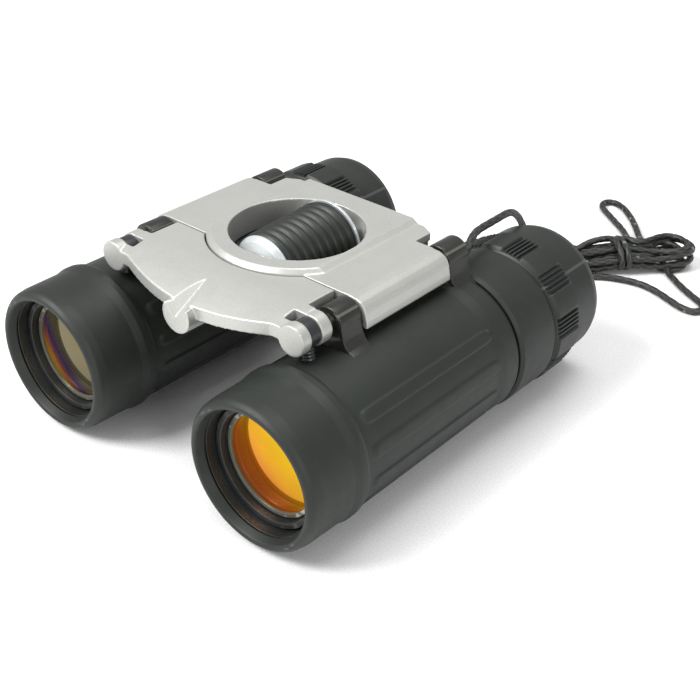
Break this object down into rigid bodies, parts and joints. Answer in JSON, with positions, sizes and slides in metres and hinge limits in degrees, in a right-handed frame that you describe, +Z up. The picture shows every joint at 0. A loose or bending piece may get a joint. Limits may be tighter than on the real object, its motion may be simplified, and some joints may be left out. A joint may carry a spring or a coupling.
{
  "type": "compact binoculars",
  "caption": "Compact folding roof-prism binoculars: rubber-armoured barrels hinged on a silver bridge, a focus drum in its well, and a cord wrist strap in a hank.",
  "frame": {"origin": "on the surface the barrels lie on, under the middle of the body without its strap", "axes": "+Z up, +Y along the barrels towards the eyepieces, +X towards the user's left barrel"},
  "size_m": [0.0999, 0.185, 0.0444],
  "materials": {
    "rubber_armour": "matt moulded rubber",
    "black_barrel": "satin black",
    "silver_paint": "die-cast, fine warm silver paint, satin",
    "silver_trim": "satin silver",
    "drum_rubber": "ribbed rubber",
    "black_plastic": "moulded, fine texture",
    "bright_steel": "turned bright",
    "coated_glass": "coated lens",
    "clear_glass": "polished",
    "strap_cord": "braided cord"
  },
  "bodies": {
    "bridge": {"bridge_plate": "silver_paint", "bottom_cover": "black_plastic", "cover_screw_1": "bright_steel", "cover_screw_2": "bright_steel", "cover_screw_3": "bright_steel", "cover_screw_4": "bright_steel", "left_hinge_rod": "bright_steel", "right_hinge_rod": "bright_steel", "front_bush": "bright_steel", "rear_bush": "bright_steel"},
    "focus_wheel": {"focus_drum": "silver_trim", "drum_sleeve": "drum_rubber", "focus_screw": "bright_steel", "screw_collar": "bright_steel"},
    "carrier": {"slide_plate": "silver_paint"},
    "left_barrel": {"left_barrel_tube": "black_barrel", "left_objective_hood": "rubber_armour", "left_armour_sleeve": "rubber_armour", "left_prism_cage": "black_barrel", "left_entry_prism": "clear_glass", "left_roof_prism": "clear_glass", "left_prism_clip": "bright_steel", "left_eyepiece_housing": "rubber_armour", "left_ocular_tube": "black_barrel", "left_field_lens": "clear_glass", "left_eye_lens": "coated_glass", "left_eyecup": "rubber_armour", "strap_lead_outer": "strap_cord", "strap_lead_inner": "strap_cord", "strap_hank": "strap_cord", "strap_loop_back": "strap_cord", "strap_loop_side": "strap_cord"},
    "left_objective": {"left_objective_cell": "black_barrel", "left_objective_ring": "black_barrel", "left_objective_lens": "coated_glass", "left_focus_link": "black_barrel"},
    "right_barrel": {"right_barrel_tube": "black_barrel", "right_objective_hood": "rubber_armour", "right_armour_sleeve": "rubber_armour", "right_prism_cage": "black_barrel", "right_entry_prism": "clear_glass", "right_roof_prism": "clear_glass", "right_prism_clip": "bright_steel", "right_eyepiece_housing": "rubber_armour"},
    "right_objective": {"right_objective_cell": "black_barrel", "right_objective_ring": "black_barrel", "right_objective_lens": "coated_glass", "right_focus_link": "black_barrel"},
    "diopter_eyecup": {"right_eyecup": "rubber_armour"},
    "right_ocular": {"right_ocular_tube": "black_barrel", "right_field_lens": "clear_glass", "right_eye_lens": "coated_glass"}
  },
  "joints": [
    {"name": "focus_turn", "type": "hinge", "parent": "bridge", "child": "focus_wheel", "pos_m": [0, -0.0047, 0.0354], "axis": [0, 1, 0], "range_deg": [0, 288]},
    {"name": "focus_slide", "type": "slide", "parent": "bridge", "child": "carrier", "axis": [0, -1, 0], "range_m": [0, 0.0024]},
    {"name": "left_fold", "type": "hinge", "parent": "bridge", "child": "left_barrel", "pos_m": [0.02524, -0.004, 0.03742], "axis": [0, 1, 0], "range_deg": [-18, 30]},
    {"name": "left_objective_slide", "type": "slide", "parent": "left_barrel", "child": "left_objective", "axis": [0, -1, 0], "range_m": [0, 0.0024]},
    {"name": "right_fold", "type": "hinge", "parent": "bridge", "child": "right_barrel", "pos_m": [-0.02524, -0.004, 0.03742], "axis": [0, -1, 0], "range_deg": [-18, 30]},
    {"name": "right_objective_slide", "type": "slide", "parent": "right_barrel", "child": "right_objective", "axis": [0, -1, 0], "range_m": [0, 0.0024]},
    {"name": "dioptre_turn", "type": "hinge", "parent": "right_barrel", "child": "diopter_eyecup", "pos_m": [-0.02935, 0.04, 0.0168], "axis": [0, 1, 0], "range_deg": [-60, 60]},
    {"name": "right_ocular_slide", "type": "slide", "parent": "right_barrel", "child": "right_ocular", "axis": [0, 1, 0], "range_m": [-0.001, 0.001]}
  ],
  "couplings": [
    {"joint": "focus_slide", "follows": "focus_turn", "m_per_rad": 0.000477},
    {"joint": "left_objective_slide", "follows": "focus_turn", "m_per_rad": 0.000477},
    {"joint": "right_objective_slide", "follows": "focus_turn", "m_per_rad": 0.000477},
    {"joint": "right_ocular_slide", "follows": "dioptre_turn", "m_per_rad": 0.00095}
  ]
}
